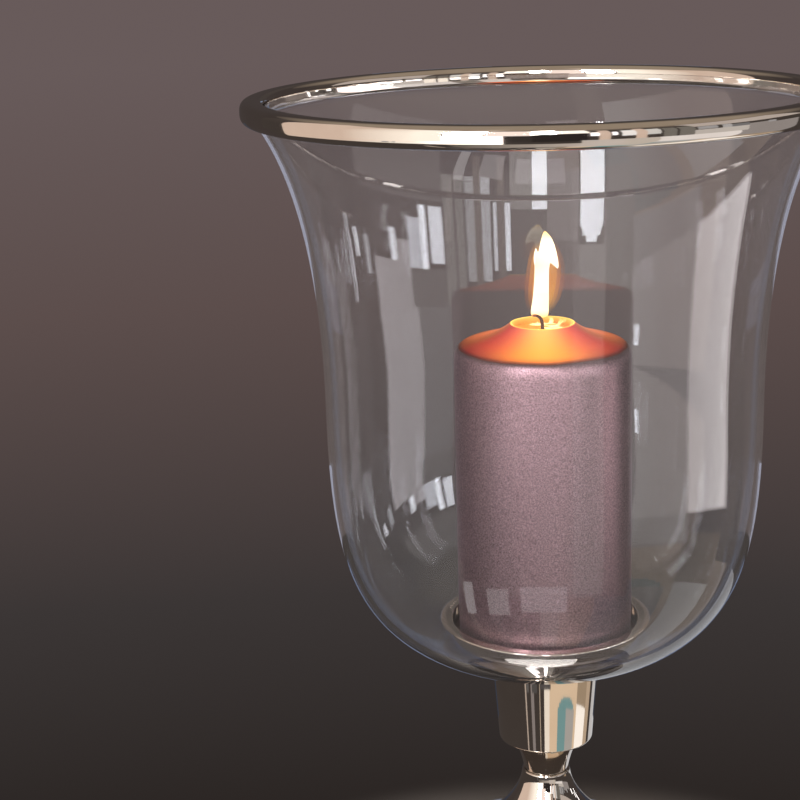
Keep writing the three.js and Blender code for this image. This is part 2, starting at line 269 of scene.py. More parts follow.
clear_silicone, nodes, link, shader = new_finish("Clear silicone")
haze = grain(nodes, link, scale=300, detail=3)
link(share_of(nodes, link, haze, 0, 1, 0.08, 0.2), shader.inputs["Roughness"])
shader.inputs["Base Color"].default_value = (0.93, 0.95, 0.96, 1)
shader.inputs["Transmission Weight"].default_value = 1
shader.inputs["IOR"].default_value = 1.41
see_through(nodes, link, shader, (0.9, 0.92, 0.93))

grommet_low, grommet_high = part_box("base_grommet")
bell_low, bell_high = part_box("glass_bell")
HOLE_RADIUS = 20 * mm
PLUG_RADIUS, PLUG_EDGE = HOLE_RADIUS - 0.4 * mm, 0.8 * mm
HAT_EDGE, HAT_TOP = 0.5 * mm, bell_low.z - 0.3 * mm
base_grommet = turned("Base_grommet", [
    (BOLT_BORE, grommet_low.z),
    *arc(grommet_high.x - HAT_EDGE, grommet_low.z + HAT_EDGE, HAT_EDGE, -90, 0, 4),
    *arc(grommet_high.x - HAT_EDGE, HAT_TOP - HAT_EDGE, HAT_EDGE, 0, 90, 4),
    (PLUG_RADIUS, HAT_TOP),
    *arc(PLUG_RADIUS - PLUG_EDGE, grommet_high.z - PLUG_EDGE, PLUG_EDGE, 0, 90, 4),
    (BOLT_BORE, grommet_high.z),
], SOFT_SIDES)
base_grommet.data.materials.append(clear_silicone)
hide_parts("base_grommet")
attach(base_grommet, "lantern")


# Glass bell: mould-blown clear glass with a flared lip, a nearly straight wall and a thick rounded
# base, drilled for the bolt. Its wall is slightly wavy. Towards the base it turns blue: partly the thick
# glass's own tint, partly a painted bluish reflection.
def inside_of(side, thickness_at):
    """The inner face of a wall whose outer face is given from the bottom up."""
    points = []
    for i, (r, z) in enumerate(side):
        before, after = side[max(i - 1, 0)], side[min(i + 1, len(side) - 1)]
        run = Vector((after[0] - before[0], after[1] - before[1])).normalized()
        thickness = thickness_at(i / (len(side) - 1))
        points.append((r - run.y * thickness, z + run.x * thickness))
    return points


def axis_values(nodes, link):
    """Where each point of a piece lies along X, Y and Z, as sockets that are fixed to the piece."""
    axes = nodes.new("ShaderNodeSeparateXYZ")
    link(nodes.new("ShaderNodeTexCoord").outputs["Object"], axes.inputs["Vector"])
    return axes.outputs


rim_low, rim_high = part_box("rim_band")
BELL_SIDES = 192
WALL, BASE = 2.8 * mm, 3.6 * mm
SEAT_RADIUS, SEAT_Z = 28 * mm, bell_low.z
BELL_RADIUS, BELL_WALL_Z = 98.1 * mm, 239.8 * mm
LIP_RADIUS, RIM_Z = bell_high.x, (rim_low.z + rim_high.z) / 2
SEAT_PULL = (BELL_RADIUS - 9 * mm, SEAT_Z + 13 * mm)
BOWL_PULL = (BELL_RADIUS - 0.1 * mm, BELL_WALL_Z - 75.8 * mm)
FLARE_PULL = (BELL_RADIUS + 0.1 * mm, BELL_WALL_Z + 49 * mm)
LIP_PULL = (LIP_RADIUS - 23.7 * mm, RIM_Z - 28.8 * mm)
HOLE_EDGE = 0.6 * mm
bowl_side = bend((SEAT_RADIUS, SEAT_Z), SEAT_PULL, BOWL_PULL, (BELL_RADIUS, BELL_WALL_Z), steps=48)
flare_side = bend((BELL_RADIUS, BELL_WALL_Z), FLARE_PULL, LIP_PULL, (LIP_RADIUS, RIM_Z), steps=40)
bowl_inside = inside_of(bowl_side, lambda share: WALL + (BASE - WALL) * (1 - share) ** 2)
flare_inside = inside_of(flare_side, lambda share: WALL)
glass_bell = turned("Glass_bell", [
    *arc(HOLE_RADIUS + HOLE_EDGE, SEAT_Z + HOLE_EDGE, HOLE_EDGE, 180, 270, 4),
    *bowl_side,
    *flare_side[1:],
    *flare_inside[::-1],
    *bowl_inside[-2:0:-1],
    (SEAT_RADIUS, SEAT_Z + BASE),
    *arc(HOLE_RADIUS + HOLE_EDGE, SEAT_Z + BASE - HOLE_EDGE, HOLE_EDGE, 90, 180, 4),
], BELL_SIDES)
clear_glass, nodes, link, shader = new_finish("Clear blown glass")
ripple = grain(nodes, link, scale=16, detail=2, stretch=(1, 1, 0.35))
# Painted reflection, partly the glass's own tint: the colour turns blue up from the seat.
BLUE_HEIGHT = 16 * mm
up_base = share_of(nodes, link, axis_values(nodes, link)["Z"], SEAT_Z, SEAT_Z + BLUE_HEIGHT)
link(shades(nodes, link, up_base, (0.0, (0.68, 0.7, 0.9)), (1.0, (0.975, 0.985, 1.0))),
     shader.inputs["Base Color"])
shader.inputs["Roughness"].default_value = 0.0
shader.inputs["Transmission Weight"].default_value = 0.973
shader.inputs["IOR"].default_value = 1.5
relief(nodes, link, shader, ripple, depth=0.35 * mm, strength=0.12)
see_through(nodes, link, shader, (0.93, 0.94, 0.95))
glass_bell.data.materials.append(clear_glass)
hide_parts("glass_bell")
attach(glass_bell, "lantern")


# Rim band: a nickel ring with flattened sides and round corners, grooved along its underside and
# pushed over the edge of the glass. It is polished all round and is the brightest piece.
RIM_HALF_WIDTH = 5.5 * mm
RIM_HALF_HEIGHT = (rim_high.z - rim_low.z) / 2
RIM_RADIUS = rim_high.x - RIM_HALF_WIDTH
RIM_SQUARENESS = 3
GROOVE_GAP, GROOVE_ROWS, GROOVE_LIMIT = 0.3 * mm, 6, 0.95
SECTION_STEPS = 120


def powered(value, power):
    """A power that keeps the sign of the value."""
    return abs(value) ** power if value > 0 else -abs(value) ** power


def section_place(point):
    """Where a point lies in the rim's section: both ways as shares of half its size."""
    return (point[0] - RIM_RADIUS) / RIM_HALF_WIDTH, (point[1] - RIM_Z) / RIM_HALF_HEIGHT


def section_angle(point):
    """Where a point lies round the rim's section."""
    out, rise = section_place(point)
    return atan2(powered(rise, RIM_SQUARENESS / 2), powered(out, RIM_SQUARENESS / 2))


def groove_wall(offset):
    """The upper stretch of the glass edge inside the rim, moved towards the axis by an offset."""
    wall = []
    for point in inside_of(flare_side, lambda share: offset)[-GROOVE_ROWS:]:
        out, rise = section_place(point)
        if abs(out) ** RIM_SQUARENESS + abs(rise) ** RIM_SQUARENESS < GROOVE_LIMIT:
            wall.append(point)
    return wall


outer_wall = groove_wall(-GROOVE_GAP)
inner_wall = groove_wall(WALL + GROOVE_GAP)
from_angle = section_angle(outer_wall[0])
to_angle = section_angle(inner_wall[0]) + 2 * pi
section = []
for i in range(SECTION_STEPS + 1):
    a = from_angle + (to_angle - from_angle) * i / SECTION_STEPS
    section.append((RIM_RADIUS + RIM_HALF_WIDTH * powered(cos(a), 2 / RIM_SQUARENESS),
                    RIM_Z + RIM_HALF_HEIGHT * powered(sin(a), 2 / RIM_SQUARENESS)))
rim_band = turned("Rim_band", [*section, *inner_wall, *outer_wall[::-1]], BELL_SIDES)
rim_band.data.materials.append(bright_nickel)
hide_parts("rim_band")
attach(rim_band, "lantern")


# Dish pad: a washer stamped from clear silicone, laid loose between the glass base and the dish, so
# that the bolt presses metal on rubber and not on glass.
pad_low, pad_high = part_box("dish_pad")
PAD_BORE, PAD_EDGE = 10.5 * mm, 0.7 * mm
dish_pad = turned("Dish_pad", [
    (PAD_BORE, pad_low.z),
    *arc(pad_high.x - PAD_EDGE, pad_low.z + PAD_EDGE, PAD_EDGE, -90, 0, 4),
    *arc(pad_high.x - PAD_EDGE, pad_high.z - PAD_EDGE, PAD_EDGE, 0, 90, 4),
    (PAD_BORE, pad_high.z),
], SOFT_SIDES)
dish_pad.data.materials.append(clear_silicone)
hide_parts("dish_pad")
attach(dish_pad, "lantern")


# Candle dish: spun from sheet and nickel-plated, with a flat flange round a straight-sided recess
# that keeps the candle in place. A dimple in its floor takes the countersunk bolt head.
dish_low, dish_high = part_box("candle_dish")
candle_low, candle_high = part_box("candle")
SHEET = 1.2 * mm
DISH_WALL_RADIUS = 43.2 * mm
DISH_OUT = DISH_WALL_RADIUS + SHEET
DISH_FLOOR_Z = candle_low.z - 0.3 * mm
FLOOR_LOW, DIMPLE_LOW = DISH_FLOOR_Z - SHEET, dish_low.z
FLANGE_RADIUS, FLANGE_Z, FLANGE_EDGE = dish_high.x, dish_high.z, SHEET / 2
DISH_CORNER, FLANGE_CORNER, MOUTH_ROUND = 5 * mm, 1 * mm, 0.8 * mm
CORNER_R, CORNER_Z = DISH_OUT - DISH_CORNER, FLOOR_LOW + DISH_CORNER
BOLT_HEAD_RADIUS = 8 * mm
CONE_RADIUS = BOLT_HEAD_RADIUS + 0.75 * mm
candle_dish = turned("Candle_dish", [
    (BOLT_BORE, DIMPLE_LOW),
    (BOLT_BORE + FLOOR_LOW - DIMPLE_LOW, FLOOR_LOW),
    *arc(CORNER_R, CORNER_Z, DISH_CORNER, -90, 0, 12),
    *arc(DISH_OUT + FLANGE_CORNER, FLANGE_Z - SHEET - FLANGE_CORNER, FLANGE_CORNER, 180, 90, 5),
    *arc(FLANGE_RADIUS - FLANGE_EDGE, FLANGE_Z - FLANGE_EDGE, FLANGE_EDGE, -90, 90, 10),
    *arc(DISH_WALL_RADIUS + MOUTH_ROUND, FLANGE_Z - MOUTH_ROUND, MOUTH_ROUND, 90, 180, 6),
    *arc(CORNER_R, CORNER_Z, DISH_CORNER - SHEET, 0, -90, 8),
    (CONE_RADIUS, DISH_FLOOR_Z),
    (BOLT_BORE, DISH_FLOOR_Z - CONE_RADIUS + BOLT_BORE),
], METAL_SIDES)
candle_dish.data.materials.append(bright_nickel)
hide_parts("candle_dish")
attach(candle_dish, "lantern")


# Tie bolt: a long countersunk steel bolt with a hexagon socket. Its head lies flush in the dimple
# of the dish, under the candle, and its shank runs down through the whole stem to the nut.
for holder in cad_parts["tie_bolt"].material_slots:
    holder.material = zinc_steel


# Candle: a pressed paraffin pillar dipped in metallic mauve lacquer. The flame has melted a crater
# round the wick, and the bare wax above the lacquer has a painted orange glow for the light inside it.
def sums(nodes, link, operation, first, second):
    """A sum over two values; either may be a socket or a number."""
    step = nodes.new("ShaderNodeMath")
    step.operation = operation
    for value, socket in zip((first, second), step.inputs):
        if isinstance(value, (int, float)):
            socket.default_value = value
        else:
            link(value, socket)
    return step.outputs["Value"]


def vector_step(nodes, link, operation, first, second=None):
    """A step on a vector, with a fixed second vector where the step needs one."""
    step = nodes.new("ShaderNodeVectorMath")
    step.operation = operation
    link(first, step.inputs[0])
    if second:
        step.inputs[1].default_value = second
    return step.outputs["Value" if operation in ("LENGTH", "DISTANCE") else "Vector"]


def out_from_axis(nodes, link, axis_x):
    """The level vector from an upright axis, which stands at axis_x, to each point of a piece."""
    place = nodes.new("ShaderNodeTexCoord").outputs["Object"]
    beside = vector_step(nodes, link, "SUBTRACT", place, (axis_x, 0, 0))
    return vector_step(nodes, link, "MULTIPLY", beside, (1, 1, 0))


def blended(nodes, link, factor, first, second, kind="MIX"):
    """A mix of two colours; each is a socket or (red, green, blue)."""
    mixer = nodes.new("ShaderNodeMix")
    mixer.data_type = "RGBA"
    mixer.blend_type = kind
    for value, key in ((factor, "Factor"), (first, "A"), (second, "B")):
        if isinstance(value, tuple):
            mixer.inputs[key].default_value = (*value, 1)
        elif isinstance(value, (int, float)):
            mixer.inputs[key].default_value = value
        else:
            link(value, mixer.inputs[key])
    return mixer.outputs["Result"]


CANDLE_RADIUS, CANDLE_EDGE = candle_high.x, 1.2 * mm
CANDLE_BASE_Z, SHOULDER_Z, SIDE_ROWS = candle_low.z, 257.6 * mm, 40
DOME_RADIUS, DOME_Z = 31.9 * mm, 268.2 * mm
SHOULDER_PULL = (CANDLE_RADIUS, SHOULDER_Z + 9.4 * mm)
DOME_PULL = (DOME_RADIUS + 5.5 * mm, DOME_Z - 1.3 * mm)
DOME_TOP_PULL = (DOME_RADIUS - 1.3 * mm, DOME_Z + 0.4 * mm)
CRATER_RADIUS, CRATER_Z = 14 * mm, 276.4 * mm
CRATER_PULL = (CRATER_RADIUS + 6.5 * mm, CRATER_Z - 5.6 * mm)
BRIM = (CRATER_RADIUS + 0.4 * mm, CRATER_Z)
BRIM_PULL = (CRATER_RADIUS, CRATER_Z + 0.15 * mm)
BRINK_PULL = (CRATER_RADIUS - 0.9 * mm, CRATER_Z - 0.3 * mm)
BRINK = (CRATER_RADIUS - 1.1 * mm, CRATER_Z - 0.9 * mm)
POOL_Z, POOL_RADIUS = 273.4 * mm, CRATER_RADIUS - 4 * mm
POOL_STEP, POOL_ROWS = 1.6 * mm, 4
BANK_PULL = (CRATER_RADIUS - 1.5 * mm, POOL_Z + 0.6 * mm)
POOL_PULL = (CRATER_RADIUS - 2.2 * mm, POOL_Z)
WICK_HOLE, WICK_HOLE_Z = 1.5 * mm, POOL_Z - 6 * mm
candle = turned("Candle", [
    (0, CANDLE_BASE_Z),
    *arc(CANDLE_RADIUS - CANDLE_EDGE, CANDLE_BASE_Z + CANDLE_EDGE, CANDLE_EDGE, -90, 0, 5),
    *[(CANDLE_RADIUS, CANDLE_BASE_Z + (SHOULDER_Z - CANDLE_BASE_Z) * i / SIDE_ROWS)
      for i in range(1, SIDE_ROWS)],
    *bend((CANDLE_RADIUS, SHOULDER_Z), SHOULDER_PULL, DOME_PULL, (DOME_RADIUS, DOME_Z), steps=28),
    *bend((DOME_RADIUS, DOME_Z), DOME_TOP_PULL, CRATER_PULL, BRIM, steps=28)[1:],
    *bend(BRIM, BRIM_PULL, BRINK_PULL, BRINK, steps=8)[1:],
    *bend(BRINK, BANK_PULL, POOL_PULL, (POOL_RADIUS, POOL_Z), steps=12)[1:],
    *[(POOL_RADIUS - POOL_STEP * i, POOL_Z) for i in range(1, POOL_ROWS + 1)],
    (WICK_HOLE, POOL_Z),
    (WICK_HOLE, WICK_HOLE_Z),
    (0, WICK_HOLE_Z),
], METAL_SIDES)
candle_finish, nodes, link, shader = new_finish("Lacquered wax")
axes = axis_values(nodes, link)
outward = out_from_axis(nodes, link, axis_x=0)
from_axis = vector_step(nodes, link, "LENGTH", outward)
LACQUER_TOP, EDGE_WANDER = 266.1 * mm, 0.3 * mm
wander = share_of(nodes, link, grain(nodes, link, scale=40, detail=2), 0.3, 0.7, -EDGE_WANDER, EDGE_WANDER)
edge_height = sums(nodes, link, "ADD", axes["Z"], wander)
bare_wax = share_of(nodes, link, edge_height, LACQUER_TOP - 0.35 * mm, LACQUER_TOP + 0.15 * mm)
glowing = share_of(nodes, link, edge_height, LACQUER_TOP - 0.1 * mm, LACQUER_TOP + 1.0 * mm)
edge_line = share_of(nodes, link, edge_height, LACQUER_TOP - 1.8 * mm, LACQUER_TOP - 0.2 * mm)

EDGE_TINT, WAX_TINT = (0.16, 0.085, 0.085), (0.35, 0.1, 0.03)
flakes = grain(nodes, link, scale=1500, detail=4)
cloud = grain(nodes, link, scale=25, detail=3)
pearl = blended(nodes, link, 1.0,
                shades(nodes, link, flakes, (0.32, (0.16, 0.092, 0.1)), (0.68, (0.45, 0.277, 0.298))),
                shades(nodes, link, cloud, (0.3, (0.9, 0.88, 0.88)), (0.7, (1, 1, 1))), "MULTIPLY")
lacquer = blended(nodes, link, edge_line, pearl, EDGE_TINT)
link(blended(nodes, link, bare_wax, lacquer, WAX_TINT), shader.inputs["Base Color"])
link(share_of(nodes, link, bare_wax, 0, 1, 0.85, 0.0), shader.inputs["Metallic"])
shader.inputs["Roughness"].default_value = 0.43
shader.inputs["Specular IOR Level"].default_value = 0.35
relief(nodes, link, shader, flakes, depth=0.06 * mm, strength=0.6)

# Painted glow: emission stands in for the flame's light in the wax. The melted pool is brightest right of
# the wick. The wax round it glows yellow near the crater, and redder and darker towards the lacquer. It is
# painted lightest on the -Y side, and painted shade makes it redder round the other sides: that is fixed
# to the candle.
SWIRL_REACH = 6 * mm
swirl = grain(nodes, link, scale=130, detail=3, stretch=(1, 1.6, 1))
swirled = share_of(nodes, link, swirl, 0.35, 0.65, -SWIRL_REACH, SWIRL_REACH)
bright_side = share_of(nodes, link, sums(nodes, link, "ADD", axes["X"], swirled), -10 * mm, 8 * mm)
pool_glow = shades(nodes, link, bright_side, (0.0, (0.75, 0.26, 0.02)), (0.45, (0.95, 0.42, 0.04)),
                   (0.68, (2.0, 1.7, 0.8)), (0.86, (1.8, 1.4, 0.55)), (1.0, (0.7, 0.26, 0.03)))
ring_share = share_of(nodes, link, from_axis, CRATER_RADIUS - 2 * mm, CANDLE_RADIUS)
ring_glow = shades(nodes, link, ring_share,
                   (0.0, (1.1, 0.55, 0.07)), (0.06, (1.2, 0.7, 0.12)), (0.09, (2.7, 1.95, 0.3)),
                   (0.29, (2.7, 1.8, 0.2)), (0.57, (2.7, 1.65, 0.11)), (0.75, (2.6, 1.5, 0.08)),
                   (0.86, (2.2, 1.0, 0.06)), (0.92, (1.4, 0.5, 0.05)))
# Painted shade: away from the -Y side the painted glow is darkened and reddened.
PAINTED_SHADE_POWER = 6.0
toward = sums(nodes, link, "DIVIDE", axes["Y"], from_axis)
near_side = sums(nodes, link, "MAXIMUM", sums(nodes, link, "MULTIPLY", toward, -1.0), 0.0)
painted_dim_sides = sums(nodes, link, "SUBTRACT", 1.0, sums(nodes, link, "POWER", near_side, PAINTED_SHADE_POWER))
painted_side_shade = shades(nodes, link, ring_share, (0.2, (0.62, 0.17, 0.6)), (0.6, (0.5, 0.11, 0.5)),
                   (0.92, (0.2, 0.038, 0.3)))
in_crater = share_of(nodes, link, from_axis, CRATER_RADIUS - 1.6 * mm, CRATER_RADIUS - 0.6 * mm)
under_skin = share_of(nodes, link, from_axis, CRATER_RADIUS + 0.1 * mm, CRATER_RADIUS + 0.7 * mm, 0.0, 0.93)
dimmed = blended(nodes, link, sums(nodes, link, "MULTIPLY", painted_dim_sides, under_skin), ring_glow,
                 blended(nodes, link, 1.0, ring_glow, painted_side_shade, "MULTIPLY"))
link(blended(nodes, link, in_crater, pool_glow, dimmed), shader.inputs["Emission Color"])
link(glowing, shader.inputs["Emission Strength"])

# A thin tinted skin over the bare wax, set as if it faced outwards and up, deepens the glow where it is
# seen at a slant. It is stronger on the front half.
SKIN_TILT = 0.6
front_half = share_of(nodes, link, toward, 0.3, -0.4, 0.55, 1.0)
skin = sums(nodes, link, "MULTIPLY", sums(nodes, link, "MULTIPLY", bare_wax, under_skin), front_half)
link(skin, shader.inputs["Coat Weight"])
shader.inputs["Coat IOR"].default_value = 1.0
shader.inputs["Coat Roughness"].default_value = 0.2
shader.inputs["Coat Tint"].default_value = (0.6, 0.33, 0.5, 1)
tilted = vector_step(nodes, link, "ADD", vector_step(nodes, link, "NORMALIZE", outward), (0, 0, SKIN_TILT))
link(vector_step(nodes, link, "NORMALIZE", tilted), shader.inputs["Coat Normal"])
candle.data.materials.append(candle_finish)
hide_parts("candle")
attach(candle, "candle")


# Wick: braided cotton cast into the wax, charred black where it stands out of the pool and curling
# over at its tip, where it still glows red.
def lofted(*bodies):
    """Corners and faces of closed skins, each through rings of corners that all have the same count."""
    corners, faces = [], []
    for rings in bodies:
        sides, start = len(rings[0]), len(corners)
        corners += [corner for ring in rings for corner in ring]
        for i in range(len(rings) - 1):
            low = start + i * sides
            for k in range(sides):
                n = (k + 1) % sides
                faces.append((low + k, low + n, low + sides + n, low + sides + k))
        faces.append(tuple(range(start + sides - 1, start - 1, -1)))
        faces.append(tuple(range(len(corners) - sides, len(corners))))
    return corners, faces


def skinned(name, corners, faces):
    """A smooth piece from corners and faces."""
    mesh = bpy.data.meshes.new(name)
    mesh.from_pydata(corners, [], faces)
    mesh.shade_smooth()
    piece = bpy.data.objects.new(name, mesh)
    bpy.context.scene.collection.objects.link(piece)
    return piece


wick_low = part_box("candle_wick")[0]
WICK_RADIUS, WICK_TAPER, WICK_SIDES = 0.792 * mm, 0.242 * mm, 20
WICK_FOOT, WICK_FOOT_PULL = (0, wick_low.z), (0, wick_low.z + 4 * mm)
WICK_BEND, WICK_BEND_PULL = (-0.4 * mm, POOL_Z + 4 * mm), (0.2 * mm, POOL_Z + 2 * mm)
WICK_CURL_PULL, WICK_TIP_PULL = (-0.9 * mm, POOL_Z + 5.6 * mm), (-2.4 * mm, POOL_Z + 6.5 * mm)
WICK_TIP = (wick_low.x + 0.1 * mm, POOL_Z + 6.2 * mm)
route = [Vector((x, 0, z)) for x, z in [
    *bend(WICK_FOOT, WICK_FOOT_PULL, WICK_BEND_PULL, WICK_BEND, steps=14),
    *bend(WICK_BEND, WICK_CURL_PULL, WICK_TIP_PULL, WICK_TIP, steps=14)[1:]]]
wick_rings = []
for i, point in enumerate(route):
    run = (route[min(i + 1, len(route) - 1)] - route[max(i - 1, 0)]).normalized()
    side = run.cross(Vector((0, 1, 0))).normalized()
    front = side.cross(run)
    radius = WICK_RADIUS - WICK_TAPER * (i / (len(route) - 1)) ** 3
    turns = [2 * pi * k / WICK_SIDES for k in range(WICK_SIDES)]
    wick_rings.append([point + radius * (cos(a) * side + sin(a) * front) for a in turns])
wick = skinned("Wick", *lofted(wick_rings))
charred, nodes, link, shader = new_finish("Charred cotton")
strands = grain(nodes, link, scale=1400, detail=3)
link(shades(nodes, link, strands, (0.35, (0.02, 0.008, 0.006)), (0.7, (0.1, 0.035, 0.02))),
     shader.inputs["Base Color"])
shader.inputs["Roughness"].default_value = 0.9
EMBER_START, EMBER_FULL = -2.2 * mm, -4.2 * mm
ember = share_of(nodes, link, axis_values(nodes, link)["X"], EMBER_START, EMBER_FULL)
link(shades(nodes, link, ember, (0.0, (0.05, 0.012, 0.006)), (1.0, (0.55, 0.14, 0.05))),
     shader.inputs["Emission Color"])
shader.inputs["Emission Strength"].default_value = 1
relief(nodes, link, shader, strands, depth=0.2 * mm)
wick.data.materials.append(charred)
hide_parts("candle_wick")
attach(wick, "candle")


# Flame: burning vapour, so it has no solid of its own. A white-hot column stands on the wick; its top
# leans right into a hooked tip, with a small second tongue on the left.
FLAME_SIDES = 32
FLAME_FOOT, FLAME_TIP = 278 * mm, 318 * mm
FLAME_GRID = 0.22 * mm
COLUMN = [
    (278.2, -3.2, 1.6), (279.2, -5.0, 2.6), (281, -5.2, 2.8), (283.5, -4.8, 2.9), (287.6, -4.2, 3.0),
    (294, -3.6, 3.0), (300.4, -3.3, 3.1), (304, -3.3, 3.6), (306.5, -2.6, 4.0), (309, -1.2, 4.0),
]
LEANING_TIP = [
    (300.9, 6.7, 7.2), (302, 5.6, 7.3), (303.4, 4.0, 7.3), (305, 1.5, 7.1), (307, -0.8, 6.7),
    (308.7, -1.5, 6.4), (312, -0.8, 5.5), (314.5, -0.2, 4.5), (316.5, 0.4, 3.1), (318, 1.1, 1.7),
]
SMALL_TIP = [
    (303, -3.4, -0.5), (305.5, -3.7, -1.0), (307.5, -3.5, -1.4), (309, -3.2, -2.0), (310.4, -2.9, -2.4),
]


def tongue(stations, depth, lean=0.0):
    """Rings of a flame body through stations of (height, left edge, right edge) in millimetres. Depth
    is a share of the width, and lean sets the foot back behind the wick."""
    rings = []
    foot, tip = stations[0][0], stations[-1][0]
    for z, left, right in stations:
        middle, half = (left + right) / 2, (right - left) / 2
        back = lean * max(0, (tip - z) / (tip - foot))
        turns = [2 * pi * k / FLAME_SIDES for k in range(FLAME_SIDES)]
        rings.append([((middle + half * cos(a)) * mm, (back + depth * half * sin(a)) * mm, z * mm)
                      for a in turns])
    return rings


flame = skinned("Flame", *lofted(tongue(COLUMN, depth=0.8, lean=3.4), tongue(LEANING_TIP, depth=0.7),
                                 tongue(SMALL_TIP, depth=0.9)))
fuse = flame.modifiers.new("One body", "REMESH")
fuse.mode = "VOXEL"
fuse.voxel_size = FLAME_GRID
fuse.use_smooth_shade = True
soften = flame.modifiers.new("Soft outline", "SMOOTH")
soften.factor, soften.iterations = 0.5, 12
flame.data = bpy.data.meshes.new_from_object(flame.evaluated_get(bpy.context.evaluated_depsgraph_get()))
flame.modifiers.clear()
burning, nodes, link, shader = new_finish("Burning vapour")
nodes.remove(shader)
up_flame = share_of(nodes, link, axis_values(nodes, link)["Z"], FLAME_FOOT, FLAME_TIP)
light = nodes.new("ShaderNodeEmission")
link(shades(nodes, link, up_flame, (0.0, (1.0, 0.4, 0.08)), (0.1, (1.0, 0.85, 0.5)), (0.35, (1.0, 0.95, 0.8)),
            (0.85, (1.0, 0.9, 0.65)), (1.0, (1.0, 0.65, 0.2))), light.inputs["Color"])
light.inputs["Strength"].default_value = 2.4
link(light.outputs["Emission"], nodes["Material Output"].inputs["Surface"])
flame.data.materials.append(burning)
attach(flame, "candle")


# Flame mantle: the hot air that glows orange round the flame, which has no solid either. Three thin
# clear shells, one in the other, make it fade outwards, and it fades at its foot and tip too.
MANTLE_FOOT, MANTLE_TIP, MANTLE_AXIS = 281 * mm, 313 * mm, 0.8 * mm
MANTLE_SHELLS = (0.6, 0.8, 1.0)
MANTLE_EDGES = [
    (281, -5.8, 3.4), (284, -7.0, 5.8), (288, -7.8, 8.0), (293, -7.8, 9.4), (298, -7.2, 10.0),
    (302, -6.6, 10.0), (306, -5.8, 9.2), (310, -4.6, 7.6), (313, -3.0, 6.2),
]
GLOW_INNER, GLOW_OUTER = 4 * mm, 9 * mm
THICK_INNER, THICK_OUTER = 0.3, 0.04
shells = []
for share in MANTLE_SHELLS:
    inset = (1 - share) / 2
    shells.append(tongue([(z, left + inset * (right - left), right - inset * (right - left))
                          for z, left, right in MANTLE_EDGES], depth=1.0))
mantle = skinned("Flame_mantle", *lofted(*shells))
glowing_air, nodes, link, shader = new_finish("Glowing air")
nodes.remove(shader)
from_axis = vector_step(nodes, link, "LENGTH", out_from_axis(nodes, link, MANTLE_AXIS))
outward = share_of(nodes, link, from_axis, GLOW_INNER, GLOW_OUTER)
up_mantle = share_of(nodes, link, axis_values(nodes, link)["Z"], MANTLE_FOOT, MANTLE_TIP)
warm = nodes.new("ShaderNodeEmission")
link(shades(nodes, link, outward, (0.0, (1.0, 0.5, 0.1)), (1.0, (1.0, 0.26, 0.05))), warm.inputs["Color"])
warm.inputs["Strength"].default_value = 1.1
ends = shades(nodes, link, up_mantle, (0.0, (0, 0, 0)), (0.3, (1, 1, 1)), (0.7, (1, 1, 1)), (1.0, (0, 0, 0)))
thick = share_of(nodes, link, outward, 0, 1, THICK_INNER, THICK_OUTER)
either_of(nodes, link, sums(nodes, link, "MULTIPLY", thick, ends),
          nodes.new("ShaderNodeBsdfTransparent").outputs["BSDF"], warm.outputs["Emission"])
mantle.data.materials.append(glowing_air)
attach(mantle, "candle")


# Studio: a pale floor that fades out round the foot, a plain warm grey backdrop, and plain lit cards
# that hang round the lantern and show only in the glass, the nickel and the lacquer.
def straight_view(nodes, link):
    """1 where the backdrop is looked at, directly or through clear glass, and 0 where it is mirrored."""
    path = nodes.new("ShaderNodeLightPath")
    mirrored = sums(nodes, link, "MINIMUM", path.outputs["Glossy Depth"], 1.0)
    through = sums(nodes, link, "MULTIPLY", path.outputs["Is Transmission Ray"],
                   sums(nodes, link, "SUBTRACT", 1.0, mirrored))
    return sums(nodes, link, "MAXIMUM", path.outputs["Is Camera Ray"], through)


sky = bpy.data.worlds.new("Plain studio")
bpy.context.scene.world = sky
sky.use_nodes = True
nodes, link = sky.node_tree.nodes, sky.node_tree.links.new
nodes.clear()
ways = nodes.new("ShaderNodeSeparateXYZ")
link(nodes.new("ShaderNodeTexCoord").outputs["Generated"], ways.inputs["Vector"])
backdrop = shades(nodes, link, share_of(nodes, link, ways.outputs["Z"], -0.46, -0.04),
                  (0.0, (0.022, 0.017, 0.015)), (0.264, (0.044, 0.037, 0.036)), (0.61, (0.108, 0.076, 0.072)),
                  (0.9, (0.138, 0.104, 0.103)))
walls = shades(nodes, link, ways.outputs["Z"], (0.0, (0.06, 0.05, 0.046)), (0.45, (0.075, 0.062, 0.057)),
               (0.75, (0.34, 0.28, 0.22)))
background = nodes.new("ShaderNodeBackground")
link(blended(nodes, link, straight_view(nodes, link), walls, backdrop), background.inputs["Color"])
world_out = nodes.new("ShaderNodeOutputWorld")
link(background.outputs["Background"], world_out.inputs["Surface"])

FLOOR_RADIUS, FLOOR_SOLID, FLOOR_FORWARD = 0.2, 0.08, 0.08
FLOOR_REACH = FLOOR_RADIUS + FLOOR_FORWARD
STAGE_TOP, STAGE_LOW = -0.5 * mm, -4 * mm
floor = turned("Floor", [
    (0, STAGE_LOW), (FLOOR_REACH, STAGE_LOW), (FLOOR_REACH, STAGE_TOP), (0, STAGE_TOP),
], SOFT_SIDES)
floor_finish, nodes, link, shader = new_finish("Pale floor")
mottle = grain(nodes, link, scale=6, detail=3)
link(shades(nodes, link, mottle, (0.3, (0.62, 0.58, 0.55)), (0.7, (0.67, 0.63, 0.6))),
     shader.inputs["Base Color"])
shader.inputs["Roughness"].default_value = 0.8
shader.inputs["Specular IOR Level"].default_value = 0
place = nodes.new("ShaderNodeTexCoord").outputs["Object"]
fade = nodes.new("ShaderNodeMapRange")
fade.interpolation_type = "SMOOTHSTEP"
fade.inputs["From Min"].default_value, fade.inputs["From Max"].default_value = FLOOR_SOLID, FLOOR_RADIUS
fade.inputs["To Min"].default_value, fade.inputs["To Max"].default_value = 1, 0
